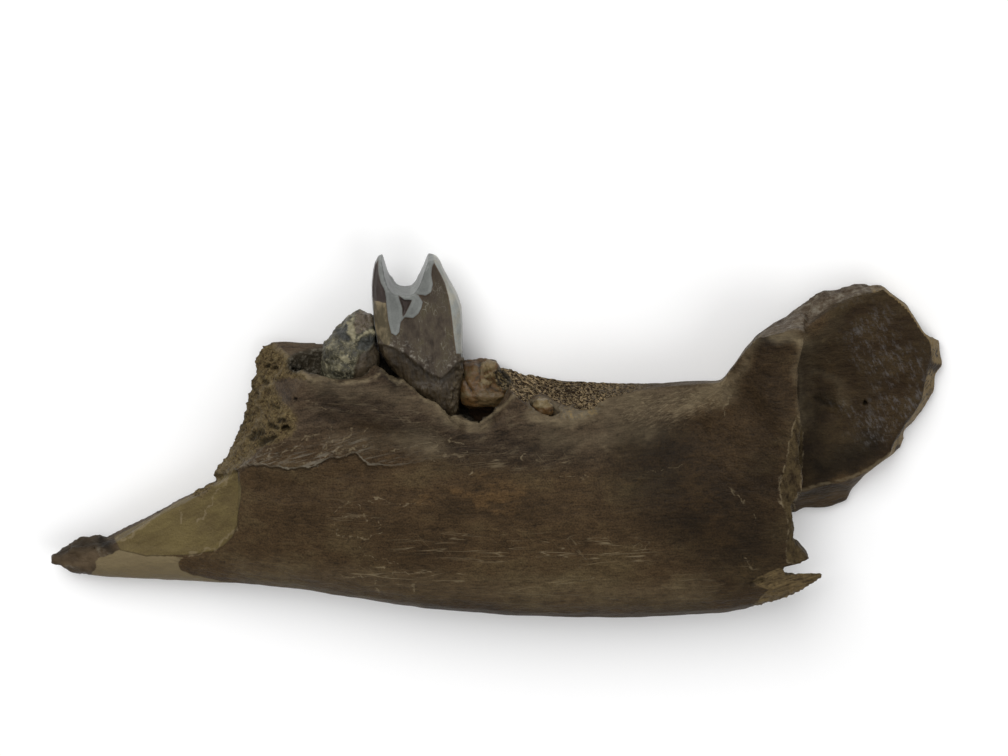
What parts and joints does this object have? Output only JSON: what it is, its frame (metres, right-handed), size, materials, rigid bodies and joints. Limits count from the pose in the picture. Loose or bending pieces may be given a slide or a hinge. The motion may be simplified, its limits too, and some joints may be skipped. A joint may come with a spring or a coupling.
{
  "type": "kangaroo jawbone",
  "caption": "Fossil left lower jaw of a large kangaroo, broken at front and back, with cheek teeth in open sockets, lying on its inner side.",
  "frame": {"origin": "on the table under the middle of the bone's bounding box, as it lies on its inner side", "axes": "+X towards the back of the jaw, +Y towards the chewing side of the teeth, +Z outward and up"},
  "size_m": [0.1832, 0.0782, 0.0227],
  "materials": {
    "bone": "smooth dark brown fossil bone with pale broken edges, fine scratches and spongy breaks",
    "mottled_enamel": "lumpy worn enamel, mottled pale, greenish and black",
    "enamel": "bluish white enamel rim round a brown dentine face",
    "dentine": "smooth yellow-brown dentine with chipped facets"
  },
  "bodies": {
    "root": {"jawbone": "bone", "tooth_front_stump": "mottled_enamel", "tooth_molar": "enamel", "tooth_rear_stump": "dentine", "tooth_bud": "dentine"}
  },
  "joints": []
}
